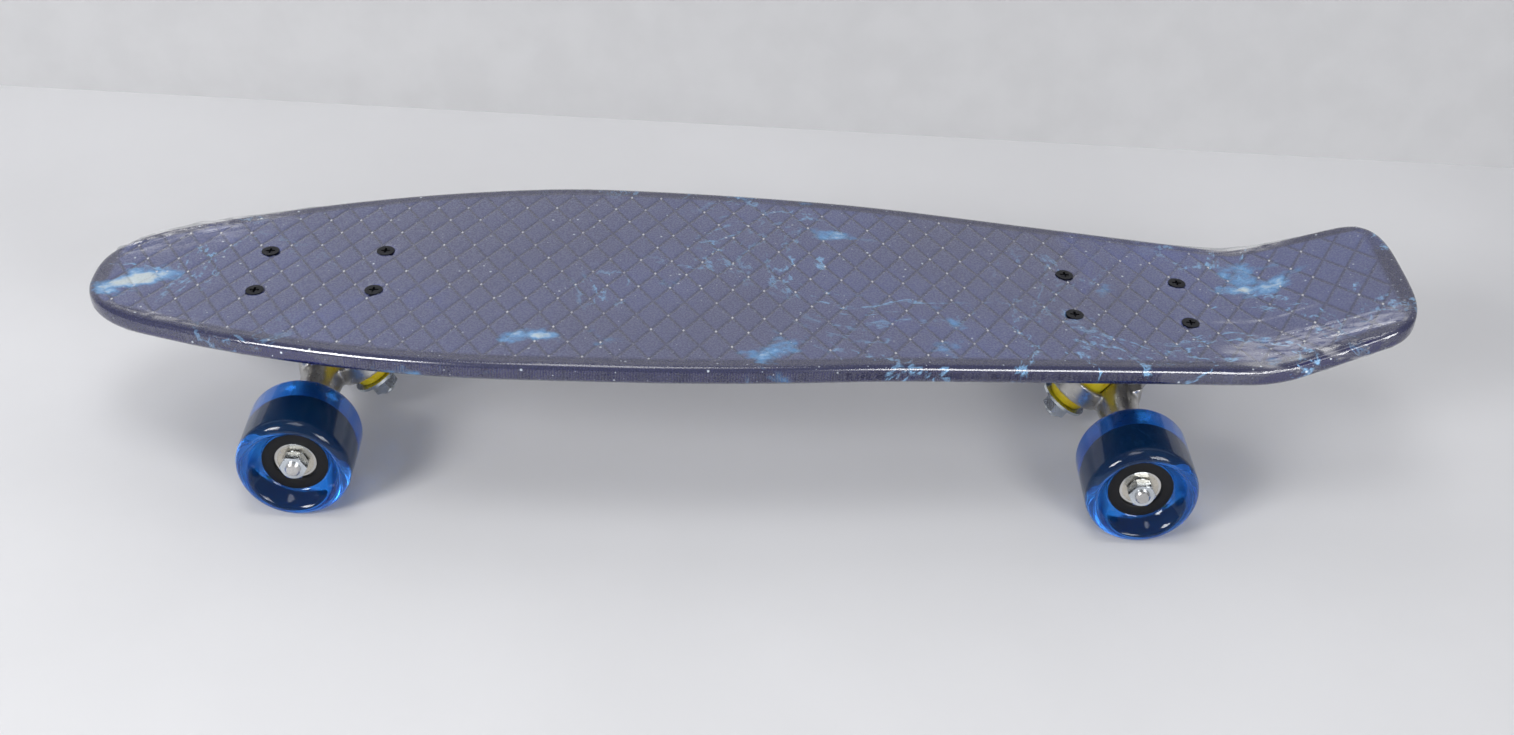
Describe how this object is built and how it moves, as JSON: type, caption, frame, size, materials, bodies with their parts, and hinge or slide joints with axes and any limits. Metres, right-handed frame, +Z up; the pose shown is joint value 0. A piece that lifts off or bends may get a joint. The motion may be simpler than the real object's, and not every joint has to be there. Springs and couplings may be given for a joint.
{
  "type": "cruiser skateboard",
  "caption": "Short plastic cruiser skateboard with a kicktail, in clear shrink film: sprung steering trucks and urethane wheels on ball bearings.",
  "frame": {"origin": "on the floor, under the middle of the board's bounding box", "axes": "+X along the board towards the kicktail, +Y across the board, +Z up"},
  "size_m": [0.7118, 0.1978, 0.1188],
  "materials": {
    "deck_plastic": "dark indigo injection-moulded polypropylene with a printed star-field top, diamond-grooved",
    "clear_film": "thin clear heat-shrink film, glossy and wrinkled at the ends",
    "black_steel": "black-oxide flat-head screws",
    "zinc_steel": "bright zinc-plated steel",
    "cast_alloy": "tumbled cast aluminium",
    "black_nylon": "black moulded nylon",
    "yellow_urethane": "translucent yellow cast urethane",
    "blue_urethane": "translucent blue cast urethane",
    "black_plastic": "black moulded core",
    "bearing_steel": "polished bearing steel"
  },
  "bodies": {
    "deck_assembly": {"deck": "deck_plastic", "shrink_film": "clear_film", "deck_screws": "black_steel", "deck_nuts": "zinc_steel", "front_baseplate": "cast_alloy", "front_pivot_cup": "black_nylon", "front_kingpin": "zinc_steel", "front_upper_bushing": "yellow_urethane", "front_lower_bushing": "yellow_urethane", "front_cup_washers": "zinc_steel", "front_kingpin_nut": "zinc_steel", "rear_baseplate": "cast_alloy", "rear_pivot_cup": "black_nylon", "rear_kingpin": "zinc_steel", "rear_upper_bushing": "yellow_urethane", "rear_lower_bushing": "yellow_urethane", "rear_cup_washers": "zinc_steel", "rear_kingpin_nut": "zinc_steel"},
    "front_left_wheel": {"front_left_tyre": "blue_urethane", "front_left_core": "black_plastic", "front_left_outer_rings": "bearing_steel", "front_left_shields": "bearing_steel"},
    "front_left_ball_set": {"front_left_balls": "bearing_steel", "front_left_cages": "bearing_steel"},
    "front_right_wheel": {"front_right_tyre": "blue_urethane", "front_right_core": "black_plastic", "front_right_outer_rings": "bearing_steel", "front_right_shields": "bearing_steel"},
    "front_right_ball_set": {"front_right_balls": "bearing_steel", "front_right_cages": "bearing_steel"},
    "front_truck": {"front_hanger": "cast_alloy", "front_axle": "zinc_steel", "front_axle_nuts": "zinc_steel", "front_speed_washers": "zinc_steel", "front_left_inner_rings": "bearing_steel", "front_left_bearing_spacer": "zinc_steel", "front_right_inner_rings": "bearing_steel", "front_right_bearing_spacer": "zinc_steel"},
    "rear_left_wheel": {"rear_left_tyre": "blue_urethane", "rear_left_core": "black_plastic", "rear_left_outer_rings": "bearing_steel", "rear_left_shields": "bearing_steel"},
    "rear_left_ball_set": {"rear_left_balls": "bearing_steel", "rear_left_cages": "bearing_steel"},
    "rear_right_wheel": {"rear_right_tyre": "blue_urethane", "rear_right_core": "black_plastic", "rear_right_outer_rings": "bearing_steel", "rear_right_shields": "bearing_steel"},
    "rear_right_ball_set": {"rear_right_balls": "bearing_steel", "rear_right_cages": "bearing_steel"},
    "rear_truck": {"rear_hanger": "cast_alloy", "rear_axle": "zinc_steel", "rear_axle_nuts": "zinc_steel", "rear_speed_washers": "zinc_steel", "rear_left_inner_rings": "bearing_steel", "rear_left_bearing_spacer": "zinc_steel", "rear_right_inner_rings": "bearing_steel", "rear_right_bearing_spacer": "zinc_steel"}
  },
  "joints": [
    {"name": "front_steer", "type": "hinge", "parent": "deck_assembly", "child": "front_truck", "pos_m": [-0.21355, 0, 0.03741], "axis": [-0.8976, 0, 0.4408], "range_deg": [-12, 12], "stiffness_Nm_per_rad": 30, "deforming": ["front_upper_bushing", "front_lower_bushing"]},
    {"name": "front_left_spin", "type": "hinge", "parent": "front_truck", "child": "front_left_wheel", "pos_m": [-0.23425, -0.0764, 0.03], "axis": [0, 1, 0], "continuous": true},
    {"name": "front_left_ball_orbit", "type": "hinge", "parent": "front_truck", "child": "front_left_ball_set", "pos_m": [-0.23425, -0.0764, 0.03], "axis": [0, 1, 0], "continuous": true},
    {"name": "front_right_spin", "type": "hinge", "parent": "front_truck", "child": "front_right_wheel", "pos_m": [-0.23425, 0.0764, 0.03], "axis": [0, 1, 0], "continuous": true},
    {"name": "front_right_ball_orbit", "type": "hinge", "parent": "front_truck", "child": "front_right_ball_set", "pos_m": [-0.23425, 0.0764, 0.03], "axis": [0, 1, 0], "continuous": true},
    {"name": "rear_steer", "type": "hinge", "parent": "deck_assembly", "child": "rear_truck", "pos_m": [0.18955, 0, 0.03741], "axis": [0.8976, 0, 0.4408], "range_deg": [-12, 12], "stiffness_Nm_per_rad": 30, "deforming": ["rear_upper_bushing", "rear_lower_bushing"]},
    {"name": "rear_left_spin", "type": "hinge", "parent": "rear_truck", "child": "rear_left_wheel", "pos_m": [0.21025, -0.0764, 0.03], "axis": [0, 1, 0], "continuous": true},
    {"name": "rear_left_ball_orbit", "type": "hinge", "parent": "rear_truck", "child": "rear_left_ball_set", "pos_m": [0.21025, -0.0764, 0.03], "axis": [0, 1, 0], "continuous": true},
    {"name": "rear_right_spin", "type": "hinge", "parent": "rear_truck", "child": "rear_right_wheel", "pos_m": [0.21025, 0.0764, 0.03], "axis": [0, 1, 0], "continuous": true},
    {"name": "rear_right_ball_orbit", "type": "hinge", "parent": "rear_truck", "child": "rear_right_ball_set", "pos_m": [0.21025, 0.0764, 0.03], "axis": [0, 1, 0], "continuous": true}
  ],
  "couplings": [
    {"joint": "front_left_ball_orbit", "follows": "front_left_spin", "ratio": 0.63233},
    {"joint": "front_right_ball_orbit", "follows": "front_right_spin", "ratio": 0.63233},
    {"joint": "rear_left_ball_orbit", "follows": "rear_left_spin", "ratio": 0.63233},
    {"joint": "rear_right_ball_orbit", "follows": "rear_right_spin", "ratio": 0.63233}
  ]
}
